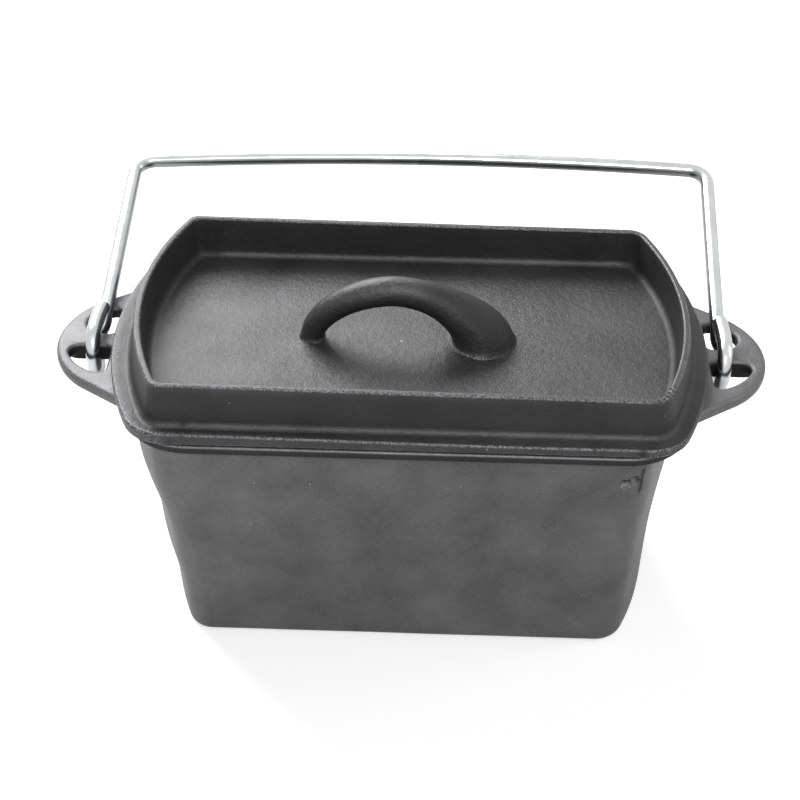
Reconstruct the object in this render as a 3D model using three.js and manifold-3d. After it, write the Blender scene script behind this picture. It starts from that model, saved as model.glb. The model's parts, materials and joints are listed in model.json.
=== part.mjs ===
// Cast iron bread pot: a tapered tub with two cast lugs, a lid with a raised ember wall and a cast
// arched handle, and a steel wire bail hooked round the crossbar of each lug.
// Millimetres, +Z up, +X along the pot. The origin is the middle of the pot's flat base.
import * as THREE from "three";
import { mergeVertices } from "three/addons/utils/BufferGeometryUtils.js";
import Module from "manifold-3d";

const wasm = await Module();
wasm.setup();

// Tub: a barrel shaped plan, with straight long sides and bowed ends, that narrows towards the base.
const potHeight = 121.5;
const tubHalfLength = 126;
const tubHalfWidth = 76.6;
const tubBowRadius = 152;
const tubCorner = 14.5;
const endTaper = 7.9;
const sideTaper = 7.4;
const tubWall = 4.5;
const tubFloor = 5;
const baseFillet = 3;
const cavityFillet = 8;

// Rim band round the top of the tub.
const rimOverEnd = 9.2;
const rimOverSide = 2.3;
const rimBowRadius = 162;
const rimCorner = 26;
const rimThick = 5.6;
const rimEdge = 1.2;
const rimUnderslope = 2.6;

// Lid flange, which rests on the rim and reaches a little past it.
const flangeOverEnd = 2.3;
const flangeOverSide = 0.9;
const flangeCorner = 20.3;
const flangeThick = 5.3;
const flangeEdge = 1.3;
const seatGap = 0.4;

// Raised wall round the ember tray on the lid.
const wallHeight = 17.8;
const wallFromEnd = 13.5;
const wallFromSide = 10.7;
const wallBowRadius = 173;
const wallCorner = 5.1;
const trayCorner = 5;
const wallTopThick = 3.8;
const wallOuterDraft = 2.2;
const wallInnerDraft = 1.2;
const wallEdge = 1.5;
const wallFootFillet = 2.6;
const trayFillet = 3;
const trayBelowFlange = 0.9;

// Lip under the lid that drops into the mouth of the tub.
const lipClearance = 1.2;
const lipDepth = 5;
const lipThick = 4;
const lipLead = 1.4;

// Lid handle: an arch along X that swells from its thin left foot to its thick right foot.
const archCentreX = -8;
const archCentreY = -1.5;
const archLeftReach = 37.4;
const archRightReach = 42;
const archRise = 26;
const archThinRadius = 5.6;
const archTopRadius = 7;
const archThickRadius = 15;
const archSink = 2.4;
const archFullness = 1.75;
const archSwellPower = 3;

// Lugs: flat ears at the ends of the tub, each with two openings and a deeper crossbar between them.
const lugBelowRim = 2;
const lugSetBack = 1.3;
const lugThick = 6.4;
const lugTipRadius = 40;
const lugFlareDegrees = 55.5;
const lugEdge = 2.2;
const lugRootSink = 14;
const lugTipBorder = 4;
const openingPastFlange = 2.2;
const openingCentreOut = 8;
const openingCorner = 3;
const openingTipCorner = 6;
const openingEdge = 1.4;
const crossbarHalfWidth = 5.3;
const crossbarThick = 9;
const crossbarEdge = 2.5;

// Bail: one wire, bent to a closed hook round each crossbar.
const wireDiameter = 7;
const hookClearance = 0.6;
const hookNeckBend = 14;
const hookShift = 0.8;
const hookEndLength = 18;
const hookEndGap = 0.15;
const hookEndShift = -1.6;
const hookStraightShare = 0.5;
const legFromOpening = 5.95;
const legLift = 2.05;
const restGap = 0.4;
const bailReach = 125.5;
const bailBend = 10;
const bailCrown = 6;
const bailSkew = 1.5;
const bailLean = 2.65;
const bailSpread = 1.85;
const bailShift = -0.85;

// Cutters run this far past what they cut.
const cutOverrun = 2;

// How finely curves are stepped.
const bowSteps = 7;
const cornerSteps = 5;
const edgeSteps = 3;
const filletSteps = 5;
const lugTipSteps = 18;
const openingCornerSteps = 4;
const openingArcSteps = 6;
const archSides = 22;
const archSteps = 26;
const wireSides = 12;
const wireSteps = 210;

const quarterTurn = Math.PI / 2;
const halfTurn = Math.PI;
const fullTurn = 2 * Math.PI;
const wireRadius = wireDiameter / 2;

// Points of an arc, with both of its ends.
function arc(centreX, centreY, radius, from, to, steps) {
  const points = [];
  for (let i = 0; i <= steps; i += 1) {
    const angle = from + ((to - from) * i) / steps;
    points.push([centreX + radius * Math.cos(angle), centreY + radius * Math.sin(angle)]);
  }
  return points;
}

// A closed geometry through rings of equally many points in space, with a flat cap on the first and last.
// Seen from the last ring, each ring runs anticlockwise.
function skin(rings) {
  const count = rings[0].length;
  const index = [];
  for (let k = 0; k + 1 < rings.length; k += 1) {
    for (let i = 0; i < count; i += 1) {
      const j = (i + 1) % count;
      const low = k * count;
      const high = low + count;
      index.push(low + i, low + j, high + j);
      index.push(low + i, high + j, high + i);
    }
  }
  const last = (rings.length - 1) * count;
  for (let i = 1; i + 1 < count; i += 1) {
    index.push(0, i + 1, i);
    index.push(last, last + i, last + i + 1);
  }
  const geometry = new THREE.BufferGeometry();
  geometry.setAttribute("position", new THREE.Float32BufferAttribute(rings.flat(2), 3));
  geometry.setIndex(index);
  return geometry;
}

// A solid for joining and cutting, from a closed geometry.
function solid(geometry) {
  const bare = geometry.clone();
  bare.deleteAttribute("normal");
  bare.deleteAttribute("uv");
  const merged = mergeVertices(bare);
  const vertProperties = new Float32Array(merged.attributes.position.array);
  const triVerts = new Uint32Array(merged.index.array);
  return new wasm.Manifold(new wasm.Mesh({ numProp: 3, vertProperties, triVerts }));
}

// A solid through level outlines, each { z, outline }, from the lowest up.
function loft(levels) {
  const rings = levels.map(({ z, outline }) => outline.map(([x, y]) => [x, y, z]));
  return solid(skin(rings));
}

function geometryOf(manifold) {
  const mesh = manifold.getMesh();
  const geometry = new THREE.BufferGeometry();
  geometry.setAttribute("position", new THREE.BufferAttribute(mesh.vertProperties, 3));
  geometry.setIndex(new THREE.BufferAttribute(mesh.triVerts, 1));
  geometry.computeVertexNormals();
  return geometry;
}

// Levels of a rounded edge at a face that looks up (up = 1) or down (up = -1). The outline is drawn in by
// the edge's radius at the face, and a negative radius spreads it instead, as for the edge of an opening.
function edgeLevels(outlineAt, face, radius, up) {
  const levels = [];
  for (let i = 0; i <= edgeSteps; i += 1) {
    const angle = (quarterTurn * i) / edgeSteps;
    const inset = radius * (1 - Math.cos(angle));
    const drop = Math.abs(radius) * (1 - Math.sin(angle));
    levels.push({ z: face - up * drop, outline: outlineAt(inset) });
  }
  return up > 0 ? levels : levels.reverse();
}

// Levels of a fillet that rises from the height z, where the outline is drawn in by the fillet's radius.
function filletLevels(outlineAt, z, radius) {
  const levels = [];
  for (let i = 0; i <= filletSteps; i += 1) {
    const angle = (quarterTurn * i) / filletSteps;
    const height = z + Math.abs(radius) * (1 - Math.cos(angle));
    const inset = radius * (1 - Math.sin(angle));
    levels.push({ z: height, outline: outlineAt(inset, height) });
  }
  return levels;
}

// The barrel shaped plan, drawn in all round by inset, with corners rounded between bow and side.
function barrel(plan, inset) {
  const halfLength = plan.halfLength - inset;
  const halfWidth = plan.halfWidth - inset;
  const bow = plan.bow - inset;
  const corner = Math.max(plan.corner - inset, plan.leastCorner);
  const bowCentreX = halfLength - bow;
  const cornerY = halfWidth - corner;
  const cornerX = bowCentreX + Math.sqrt((bow - corner) ** 2 - cornerY ** 2);
  const turn = Math.atan2(cornerY, cornerX - bowCentreX);
  const bowPart = arc(bowCentreX, 0, bow, 0, turn, bowSteps);
  const cornerPart = arc(cornerX, cornerY, corner, turn, quarterTurn, cornerSteps);
  const firstQuarter = [...bowPart, ...cornerPart.slice(1)];
  const secondQuarter = firstQuarter.map(([x, y]) => [-x, y]).reverse();
  const backHalf = [...firstQuarter, ...secondQuarter];
  const frontHalf = backHalf.slice(1, -1).map(([x, y]) => [x, -y]).reverse();
  return [...backHalf, ...frontHalf];
}

const rimPlan = {
  halfLength: tubHalfLength + rimOverEnd,
  halfWidth: tubHalfWidth + rimOverSide,
  bow: rimBowRadius,
  corner: rimCorner,
  leastCorner: rimEdge,
};
const flangePlan = {
  halfLength: rimPlan.halfLength + flangeOverEnd,
  halfWidth: rimPlan.halfWidth + flangeOverSide,
  bow: rimBowRadius + flangeOverSide,
  corner: flangeCorner,
  leastCorner: flangeEdge,
};
const wallPlan = {
  halfLength: flangePlan.halfLength - wallFromEnd,
  halfWidth: flangePlan.halfWidth - wallFromSide,
  bow: wallBowRadius,
  corner: wallCorner,
  leastCorner: trayCorner,
};

// The tub's plan at a height, narrowing evenly from the rim to the base.
function tubPlanAt(z) {
  const dropShare = (potHeight - z) / potHeight;
  return {
    halfLength: tubHalfLength - endTaper * dropShare,
    halfWidth: tubHalfWidth - sideTaper * dropShare,
    bow: tubBowRadius - sideTaper * dropShare,
    corner: tubCorner,
    leastCorner: cavityFillet,
  };
}

// The tub as a full block, filleted at the base.
function tubBlock() {
  const outlineAt = (inset, z) => barrel(tubPlanAt(z), inset);
  const top = potHeight - rimEdge;
  return loft([...filletLevels(outlineAt, 0, baseFillet), { z: top, outline: outlineAt(0, top) }]);
}

// The hollow of the tub, open upward, with a bevel round its mouth.
function tubHollow() {
  const outlineAt = (inset, z) => barrel(tubPlanAt(z), tubWall + inset);
  const bevel = potHeight - rimEdge;
  const above = potHeight + cutOverrun;
  return loft([
    ...filletLevels(outlineAt, tubFloor, cavityFillet),
    { z: bevel, outline: outlineAt(0, bevel) },
    { z: above, outline: outlineAt(bevel - above, potHeight) },
  ]);
}

// The rim band, whose underside slopes back to the tub.
function rimBand() {
  const outlineAt = (inset) => barrel(rimPlan, inset);
  const bottom = potHeight - rimThick;
  return loft([
    { z: bottom - rimUnderslope, outline: barrel(tubPlanAt(bottom), tubWall / 2) },
    { z: bottom, outline: outlineAt(rimEdge) },
    { z: bottom + rimEdge, outline: outlineAt(0) },
    ...edgeLevels(outlineAt, potHeight, rimEdge, 1),
  ]);
}

// Heights and places of the lugs. The bail hinges about the line through the middle of both crossbars.
const lugTop = potHeight - lugBelowRim;
const lugBottom = lugTop - lugThick;
const crossbarBottom = lugTop - crossbarThick;
const hingeZ = lugTop - crossbarThick / 2;
const lugCentreX = tubHalfLength;
const lugRootX = lugCentreX - lugRootSink;
const openingCentreX = lugCentreX + openingCentreOut;
const openingRootX = flangePlan.halfLength + openingPastFlange;
const openingRadius = lugTipRadius - lugTipBorder - openingCentreOut;
const crossbarTipX = openingCentreX + openingRadius - crossbarHalfWidth;

// The right lug's outline: a round tip with straight flanks that spread to the tub.
function lugOutline(inset) {
  const flare = THREE.MathUtils.degToRad(lugFlareDegrees);
  const radius = lugTipRadius - inset;
  const rootY = (radius + lugRootSink * Math.cos(flare)) / Math.sin(flare);
  return [...arc(lugCentreX, 0, radius, -flare, flare, lugTipSteps), [lugRootX, rootY], [lugRootX, -rootY]];
}

// The right crossbar's outline, round at the tip of the lug.
function crossbarOutline(inset) {
  const radius = crossbarHalfWidth - inset;
  const tip = arc(crossbarTipX, 0, radius, -quarterTurn, quarterTurn, 2 * openingCornerSteps);
  return [...tip, [lugRootX, radius], [lugRootX, -radius]];
}

// The right lug's back opening, between the crossbar, the lug's root and its round border.
function openingOutline(inset) {
  const rootX = openingRootX + openingCorner;
  const rootY = crossbarHalfWidth + openingCorner;
  const farY = Math.sqrt((openingRadius - openingCorner) ** 2 - (rootX - openingCentreX) ** 2);
  const tipY = crossbarHalfWidth + openingTipCorner;
  const tipX = openingCentreX + Math.sqrt((openingRadius - openingTipCorner) ** 2 - tipY ** 2);
  const tipAngle = Math.atan2(tipY, tipX - openingCentreX);
  const farAngle = Math.atan2(farY, rootX - openingCentreX);
  const corner = openingCorner - inset;
  const border = openingRadius - inset;
  return [
    ...arc(rootX, rootY, corner, halfTurn, halfTurn + quarterTurn, openingCornerSteps),
    ...arc(tipX, tipY, openingTipCorner - inset, -quarterTurn, tipAngle, openingCornerSteps),
    ...arc(openingCentreX, 0, border, tipAngle, farAngle, openingArcSteps).slice(1, -1),
    ...arc(rootX, farY, corner, farAngle, halfTurn, openingCornerSteps),
  ];
}

// A lug with both openings cut and its crossbar deepened. Its edges are rounded, as a casting's are.
function lug() {
  const plate = loft([
    ...edgeLevels(lugOutline, lugBottom, lugEdge, -1),
    ...edgeLevels(lugOutline, lugTop, lugEdge, 1),
  ]);
  const backOpening = loft([
    { z: lugBottom - cutOverrun, outline: openingOutline(-openingEdge) },
    ...edgeLevels(openingOutline, lugBottom, -openingEdge, -1),
    ...edgeLevels(openingOutline, lugTop, -openingEdge, 1),
    { z: lugTop + cutOverrun, outline: openingOutline(-openingEdge) },
  ]);
  const frontOpening = backOpening.mirror([0, 1, 0]);
  const crossbar = loft([
    ...edgeLevels(crossbarOutline, crossbarBottom, crossbarEdge, -1),
    { z: hingeZ, outline: crossbarOutline(0) },
  ]);
  return plate.subtract(backOpening).subtract(frontOpening).add(crossbar).translate([0, lugSetBack, 0]);
}

function potGeometry() {
  const rightLug = lug();
  const leftLug = rightLug.mirror([1, 0, 0]);
  const casting = tubBlock().add(rimBand()).add(rightLug).add(leftLug);
  return geometryOf(casting.subtract(tubHollow()));
}

// Heights in the lid.
const flangeBottom = potHeight + seatGap;
const flangeTop = flangeBottom + flangeThick;
const wallTop = flangeTop + wallHeight;
const trayFloor = flangeTop - trayBelowFlange;

function flangePlate() {
  const outlineAt = (inset) => barrel(flangePlan, inset);
  return loft([
    ...edgeLevels(outlineAt, flangeBottom, flangeEdge / 2, -1),
    ...edgeLevels(outlineAt, flangeTop, flangeEdge, 1),
  ]);
}

// The raised wall as a full block, with its foot filleted into the flange.
function wallBlock() {
  const outlineAt = (inset, z) => barrel(wallPlan, inset - (wallOuterDraft * (wallTop - z)) / wallHeight);
  const buried = flangeTop - flangeThick / 2;
  return loft([
    { z: buried, outline: outlineAt(-wallFootFillet, flangeTop) },
    ...filletLevels(outlineAt, flangeTop, -wallFootFillet),
    ...edgeLevels((inset) => barrel(wallPlan, inset), wallTop, wallEdge, 1),
  ]);
}

// The hollow of the ember tray, open upward. Its mouth is rounded like the wall's outer edge.
function trayHollow() {
  const above = wallTop + cutOverrun;
  return loft([
    ...filletLevels((inset) => barrel(wallPlan, wallTopThick + wallInnerDraft + inset), trayFloor, trayFillet),
    ...edgeLevels((inset) => barrel(wallPlan, wallTopThick + inset), wallTop, -wallEdge, 1),
    { z: above, outline: barrel(wallPlan, wallTopThick - wallEdge) },
  ]);
}

// The lip under the lid, a ring that clears the mouth of the tub.
function lipRing() {
  const outlineAt = (inset) => barrel(tubPlanAt(potHeight), tubWall + lipClearance + inset);
  const bottom = flangeBottom - lipDepth;
  const ring = loft([
    { z: bottom, outline: outlineAt(lipLead) },
    { z: bottom + lipLead, outline: outlineAt(0) },
    { z: flangeBottom + flangeThick / 2, outline: outlineAt(0) },
  ]);
  const inside = loft([
    { z: bottom - cutOverrun, outline: outlineAt(lipThick) },
    { z: flangeBottom, outline: outlineAt(lipThick + lipLead) },
  ]);
  return ring.subtract(inside);
}

// The handle: round sections on a fan of planes through the arch's centre line on the tray floor.
function archHandle() {
  const section = (turn, lower) => {
    const reach = turn < quarterTurn ? archRightReach : archLeftReach;
    const across = Math.abs(Math.cos(turn));
    const up = Math.abs(Math.sin(turn));
    const acrossPull = across ** (archFullness - 1) / reach ** archFullness;
    const upPull = up ** (archFullness - 1) / archRise ** archFullness;
    const pull = acrossPull * across + upPull * up;
    const middle = pull ** (-1 / archFullness);
    const slantShare = pull / Math.hypot(acrossPull, upPull);
    const swellShare = Math.max(1 - turn / quarterTurn, 0) ** archSwellPower;
    const slimRadius = archThinRadius + (archTopRadius - archThinRadius) * up;
    const rightRadius = archTopRadius + (archThickRadius - archTopRadius) * swellShare;
    const radius = turn < quarterTurn ? rightRadius : slimRadius;
    const ring = [];
    for (let i = 0; i < archSides; i += 1) {
      const angle = (fullTurn * i) / archSides;
      const out = middle + (radius / slantShare) * Math.cos(angle);
      const x = archCentreX + out * Math.cos(turn);
      const z = trayFloor + out * Math.sin(turn) - lower;
      ring.push([x, archCentreY + radius * Math.sin(angle), z]);
    }
    return ring;
  };
  const rings = [section(0, archSink)];
  for (let k = 0; k <= archSteps; k += 1) {
    rings.push(section((halfTurn * k) / archSteps, 0));
  }
  rings.push(section(halfTurn, archSink));
  return solid(skin(rings));
}

function lidGeometry() {
  const dish = flangePlate().add(wallBlock()).subtract(trayHollow());
  return geometryOf(dish.add(lipRing()).add(archHandle()));
}

// An arc in space: from one angle to another, measured from the zero direction towards the quarter
// direction, with an even drift to one side on the way.
class WireArc extends THREE.Curve {
  constructor(centre, zero, quarter, radius, from, to, drift = new THREE.Vector3()) {
    super();
    Object.assign(this, { centre, zero, quarter, radius, from, to, drift });
  }

  getPoint(t, target = new THREE.Vector3()) {
    const angle = this.from + (this.to - this.from) * t;
    target.copy(this.centre).addScaledVector(this.zero, this.radius * Math.cos(angle));
    target.addScaledVector(this.quarter, this.radius * Math.sin(angle));
    return target.addScaledVector(this.drift, t);
  }
}

// The whole wire from its right half. The left half is the same with X turned over, but the wire is bent a
// little out of true: the legs spread towards the grip, which is skewed, further out along the right leg,
// and leans over to the right.
class WholeWire extends THREE.Curve {
  constructor(half, legX) {
    super();
    Object.assign(this, { half, legX });
  }

  getPoint(t, target = new THREE.Vector3()) {
    const fromMiddle = 2 * t - 1;
    target.copy(this.half.getPointAt(Math.min(Math.abs(fromMiddle), 1)));
    target.x *= Math.sign(fromMiddle);
    const reachShare = target.y / bailReach;
    const sideShare = target.x / this.legX;
    target.y += bailSkew * reachShare * sideShare;
    target.x += (bailLean + bailSpread * sideShare) * reachShare;
    return target;
  }
}

// The bail's middle line. The bail is drawn lying along +Y from its hinge line, and is turned up to its rest
// angle afterwards. Its right half runs from the middle of the grip to the cut end of its hook.
function bailLine() {
  const legX = openingRootX + legFromOpening;
  const outward = new THREE.Vector3(1, 0, 0);
  const along = new THREE.Vector3(0, 1, 0);
  const rise = new THREE.Vector3(0, 0, 1);
  const at = (x, y, z) => new THREE.Vector3(x, y, z);
  const upAt = (x, y) => at(x, y, legLift);

  // Grip, crowned in the middle, and the bend down to the leg.
  const crownRadius = (legX ** 2 + bailCrown ** 2) / (2 * bailCrown);
  const crownCentreY = bailReach + bailCrown - crownRadius;
  const bendX = legX - bailBend;
  const bendY = crownCentreY + Math.sqrt((crownRadius - bailBend) ** 2 - bendX ** 2);
  const bendTurn = Math.atan2(bendX, bendY - crownCentreY);
  const grip = new WireArc(upAt(0, crownCentreY), along, outward, crownRadius, 0, bendTurn);
  const bend = new WireArc(upAt(bendX, bendY), along, outward, bailBend, bendTurn, quarterTurn);

  // Hook: down through the back opening, under the crossbar, up through the front one and back over, with
  // its cut end bent in above the leg.
  const cornerY = crossbarHalfWidth - openingEdge;
  const cornerZ = crossbarThick / 2 - openingEdge;
  const hookRadius = Math.hypot(cornerY, cornerZ) + openingEdge + hookClearance + wireRadius;
  const neckDrop = hookNeckBend - legLift;
  const neckY = Math.sqrt((hookRadius + hookNeckBend) ** 2 - neckDrop ** 2);
  const neckTurn = Math.atan2(neckY, neckDrop);
  const hookEndRise = legLift + wireDiameter + hookEndGap;
  const endTurn = Math.atan2(hookEndRise, hookEndLength)
    + Math.acos(hookRadius / Math.hypot(hookEndLength, hookEndRise));
  const leg = new THREE.LineCurve3(upAt(legX, bendY), upAt(legX, neckY));
  const neckCentre = at(legX, neckY, -neckDrop);
  const back = along.clone().negate();
  const neck = new WireArc(neckCentre, rise, back, hookNeckBend, 0, neckTurn);
  const loopDrift = outward.clone().multiplyScalar(hookShift);
  const loopStart = -Math.atan2(neckDrop, neckY);
  const loopEnd = endTurn - fullTurn;
  const loop = new WireArc(at(legX, 0, 0), along, rise, hookRadius, loopStart, loopEnd, loopDrift);
  const hookTop = loop.getPoint(1);
  const cutEnd = at(legX + hookEndShift, hookEndLength, hookEndRise);
  const beforeBend = hookTop.clone().lerp(cutEnd, hookStraightShare).setX(hookTop.x);
  const end = new THREE.QuadraticBezierCurve3(hookTop, beforeBend, cutEnd);

  const half = new THREE.CurvePath();
  for (const curve of [grip, bend, leg, neck, loop, end]) {
    half.add(curve);
  }
  return new WholeWire(half, legX);
}

function bailGeometry() {
  const section = new THREE.Shape();
  section.absarc(0, 0, wireRadius, 0, fullTurn, false);
  return new THREE.ExtrudeGeometry(section, {
    steps: wireSteps,
    curveSegments: wireSides / 2,
    extrudePath: bailLine(),
    bevelEnabled: false,
  });
}

// The angle at which the legs lie back on the border beyond the lugs' back openings.
function restTurn() {
  const legOut = openingRootX + legFromOpening - openingCentreX;
  const edgeY = Math.sqrt(openingRadius ** 2 - legOut ** 2) + openingEdge;
  const edgeZ = crossbarThick / 2 - openingEdge;
  const stand = wireRadius + openingEdge + restGap - legLift;
  return Math.asin(stand / Math.hypot(edgeY, edgeZ)) + Math.atan2(edgeZ, edgeY);
}

function named(name, geometry, color, roughness, metalness) {
  const mesh = new THREE.Mesh(geometry, new THREE.MeshStandardMaterial({ color, roughness, metalness }));
  mesh.name = name;
  return mesh;
}

const pot = named("pot", potGeometry(), 0x4a4a4b, 0.6, 0.5);
const lid = named("lid", lidGeometry(), 0x3d3d3e, 0.58, 0.5);
const bail = named("bail", bailGeometry(), 0xb9bbbe, 0.28, 1);
bail.position.set(bailShift, lugSetBack, hingeZ);
bail.rotation.x = restTurn();

const breadPot = new THREE.Group();
breadPot.add(pot, lid, bail);

export default breadPot;
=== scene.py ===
"""Cast iron bread pot: tub with pierced lugs, tray lid with a cast handle, wire bail. Metres, +Z up."""
import json
import math

import bmesh
import bpy
from mathutils import Matrix, Vector, noise


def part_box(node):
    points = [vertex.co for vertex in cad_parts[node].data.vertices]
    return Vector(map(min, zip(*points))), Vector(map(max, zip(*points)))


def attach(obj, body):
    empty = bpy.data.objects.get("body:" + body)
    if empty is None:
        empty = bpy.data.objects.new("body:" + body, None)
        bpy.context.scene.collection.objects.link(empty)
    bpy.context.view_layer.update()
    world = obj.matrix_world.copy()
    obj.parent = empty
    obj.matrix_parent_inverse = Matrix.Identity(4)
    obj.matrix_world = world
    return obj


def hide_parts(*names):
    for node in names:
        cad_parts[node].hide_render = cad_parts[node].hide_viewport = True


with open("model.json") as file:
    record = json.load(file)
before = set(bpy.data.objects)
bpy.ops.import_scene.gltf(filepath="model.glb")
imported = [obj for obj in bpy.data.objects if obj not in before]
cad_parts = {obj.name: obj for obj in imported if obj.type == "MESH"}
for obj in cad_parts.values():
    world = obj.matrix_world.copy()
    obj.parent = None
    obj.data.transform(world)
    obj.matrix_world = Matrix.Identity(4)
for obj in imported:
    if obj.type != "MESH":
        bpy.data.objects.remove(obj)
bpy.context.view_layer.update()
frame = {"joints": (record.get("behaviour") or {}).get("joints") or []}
mm = 0.001
half_turn = math.pi
quarter_turn = math.pi / 2

# Camera, solved from the photograph's perspective.
camera_at = Vector((11.6, -606.0, 562.1)) * mm
camera_down = math.radians(38.0)
camera_yaw = 0.0264
camera_roll = 0.0117
focal_px = 1602.2
photo_px = 800
sensor_mm = 36.0

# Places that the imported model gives.
lid_low, lid_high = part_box("lid")
hinge = Vector(next(joint["pos_m"] for joint in frame["joints"] if joint["name"] == "bail_swing"))

# Tub: its plan at the rim, how much it narrows to the base, and its wall.
tub_half_length = 126 * mm
tub_half_width = 76.6 * mm
tub_bow = 152 * mm
tub_corner = 14.5 * mm
end_taper = 7.9 * mm
side_taper = 6.4 * mm
tub_wall = 4.5 * mm
tub_floor = 5 * mm
base_fillet = 3 * mm
cavity_fillet = 8 * mm
end_shaped_from = 0.7 * tub_half_length
end_shaped_fade = 0.25 * tub_half_length
left_flare = 4.8 * mm
left_flare_from = 60 * mm
left_flare_reach = 33 * mm
left_tuck = 2.9 * mm
left_tuck_from = 20 * mm
left_tuck_reach = 26 * mm
right_hollow = 1.4 * mm
right_hollow_from = 8 * mm
right_hollow_to = 88 * mm

# Rim band round the tub's mouth.
rim_over_end = 9.2 * mm
rim_over_side = 2.7 * mm
rim_bow = 162 * mm
rim_corner = 31 * mm
rim_thick = 4.5 * mm
rim_edge = 1.2 * mm
rim_cove = 5 * mm

# A casting flaw in the tub's front: two scoops that run together, each (x, z, reach, depth).
flaw_scoops = ((96.4 * mm, 104.4 * mm, 2.7 * mm, 3.2 * mm), (99.8 * mm, 105.8 * mm, 2.9 * mm, 1.6 * mm))
flaw_x = 97.8 * mm
flaw_z = 105.6 * mm
flaw_refined = 7 * mm
flaw_cuts = 7
flaw_skin = 2 * mm
flaw_rough = 0.35 * mm
flaw_ragged_length = 1.6 * mm
flaw_grit_length = 0.9 * mm

# Lid: flange, ember wall, tray and lip.
flange_from_side = 0.5 * mm
flange_bow = 162.9 * mm
flange_back_right_bow = 190 * mm
flange_corner = 20.3 * mm
flange_thick = 5.3 * mm
flange_edge = 1.3 * mm
flange_low_edge = 1.4 * mm
flange_rise_left = 0.8 * mm
flange_fall_right = 0.6 * mm
flange_rise_reach = 160 * mm
tilt_half_length = 110 * mm
seat_gap = 0.4 * mm
wall_height = 17.8 * mm
wall_from_left_end = 11.9 * mm
wall_from_right_end = 10.3 * mm
wall_from_side = 10.4 * mm
wall_bow = 158 * mm
wall_back_left_corner = 5.1 * mm
wall_front_left_corner = 7.5 * mm
wall_right_corner = 10 * mm
tray_corner = 5 * mm
wall_top_thick = 3.4 * mm
wall_outer_draft = 2.8 * mm
wall_inner_draft = 1.2 * mm
wall_edge = 1.2 * mm
crest_rise = 0.9 * mm
crest_tilt = 0.95 * mm
wall_foot = 2.6 * mm
tray_fillet = 3 * mm
tray_below_flange = 0.9 * mm
lip_clearance = 1.2 * mm
lip_depth = 5 * mm
lip_thick = 4 * mm
lip_lead = 1.4 * mm

# Five nibbles in the ember wall's front right corner, where the sand broke away.
nibble_from = Vector((114.2, -59.2)) * mm
nibble_to = Vector((105.6, -68.6)) * mm
nibble_count = 5
nibble_depth = 1.0 * mm
nibble_drop = 2.4 * mm
nibble_refined = 7.5 * mm
nibble_cuts = 3
nibble_reach = 9 * mm

# Lid handle.
arch_centre = Vector((-8, -1.5)) * mm
arch_left_reach = 37.4 * mm
arch_right_reach = 42 * mm
arch_rise = 26 * mm
arch_thin = 5.6 * mm
arch_top = 7 * mm
arch_thick = 15 * mm
arch_fullness = 1.75
arch_swell_power = 3
arch_foot_fillet = 0.7 * mm

# Lugs.
lug_below_rim = 2 * mm
lug_thick = 6.4 * mm
lug_radius = 40 * mm
lug_flare = math.radians(55.5)
lug_edge = 2.2 * mm
lug_root_sink = 14 * mm
lug_cove = 5 * mm
lug_cove_end = 55 * mm
lug_cove_fade = 14 * mm
lug_cove_sunk = 1.5 * mm
lug_voxel = 0.55 * mm
opening_past_flange = 2.2 * mm
opening_centre_out = 8 * mm
opening_radius = 28 * mm
opening_corner = 3 * mm
opening_edge = 1.4 * mm
opening_soft_edge = 2 * mm
back_tip_corner = 8.2 * mm
back_border = 1.6 * mm
front_tip_corner = 4.5 * mm
left_front_border = 0.9 * mm
right_front_border = 1.6 * mm
crossbar_half = 5.3 * mm
crossbar_thick = 9 * mm
left_crossbar_deeper = 1 * mm
right_crossbar_deeper = 1.4 * mm
crossbar_edge = 2.5 * mm

# Bail wire.
wire_radius = 3.5 * mm
hook_clearance = 0.6 * mm
hook_neck_bend = 14 * mm
hook_shift = 1.4 * mm
hook_end_length = 18 * mm
hook_end_gap = 0.15 * mm
hook_end_shift = -0.2 * mm
hook_straight = 0.5
hook_hang = 4.1 * mm
hook_hang_from = 1 * mm
hook_hang_fade = 7 * mm
hook_front_from = 6 * mm
hook_front_fade = 12 * mm
left_hook_front = 0.2
right_hook_front = 0.0
leg_from_opening = 5.95 * mm
leg_lift = 2.05 * mm
rest_gap = 0.4 * mm
bail_reach = 125.5 * mm
bail_bend = 10 * mm
bail_crown = 6 * mm
bail_skew = 1.5 * mm
bail_lean = 2.65 * mm
bail_spread = 1.85 * mm
bail_shift = -0.85 * mm
wire_chamfer = 0.6 * mm

# Where shade is painted into the colour, over what length it fades in, and how dark it gets.
rim_shade_from = 0.7 * mm
rim_shade_fade = 0.6 * mm
rim_shade_below = 1 * mm
rim_shade_low_fade = 2 * mm
rim_shade_most = 0.85
flaw_shade_left = 92 * mm
flaw_shade_right = 104 * mm
flaw_shade_below_rim = 24 * mm
flaw_shade_skin = 4 * mm
flaw_shade_depth = 1.2 * mm
flaw_shade_most = 0.9
opening_shade_from = 0.5 * mm
opening_shade_fade = 1.5 * mm
opening_shade_most = 0.95
flange_shade_above = 1 * mm
flange_shade_from = 112 * mm
flange_shade_fade = 10 * mm
wall_shade_fade = 2 * mm
wall_foot_shade_fade = 3 * mm
wall_end_from = 95 * mm
wall_end_shade = 0.75
wall_outer_shade = 0.45
arch_shade_from = 8 * mm
arch_shade_fade = 12 * mm
arch_shade_most = 0.85
loop_shade_from = 4 * mm
loop_shade_fade = 5 * mm
loop_shade_most = 0.75
left_wire_shade = 0.55
right_wire_shade = 0.75

# Heights that follow.
pot_height = lid_low.z + lip_depth - seat_gap
lug_top = pot_height - lug_below_rim
flange_low = pot_height + seat_gap
flange_top = flange_low + flange_thick
wall_top = flange_top + wall_height
tray_floor = flange_top - tray_below_flange

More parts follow.
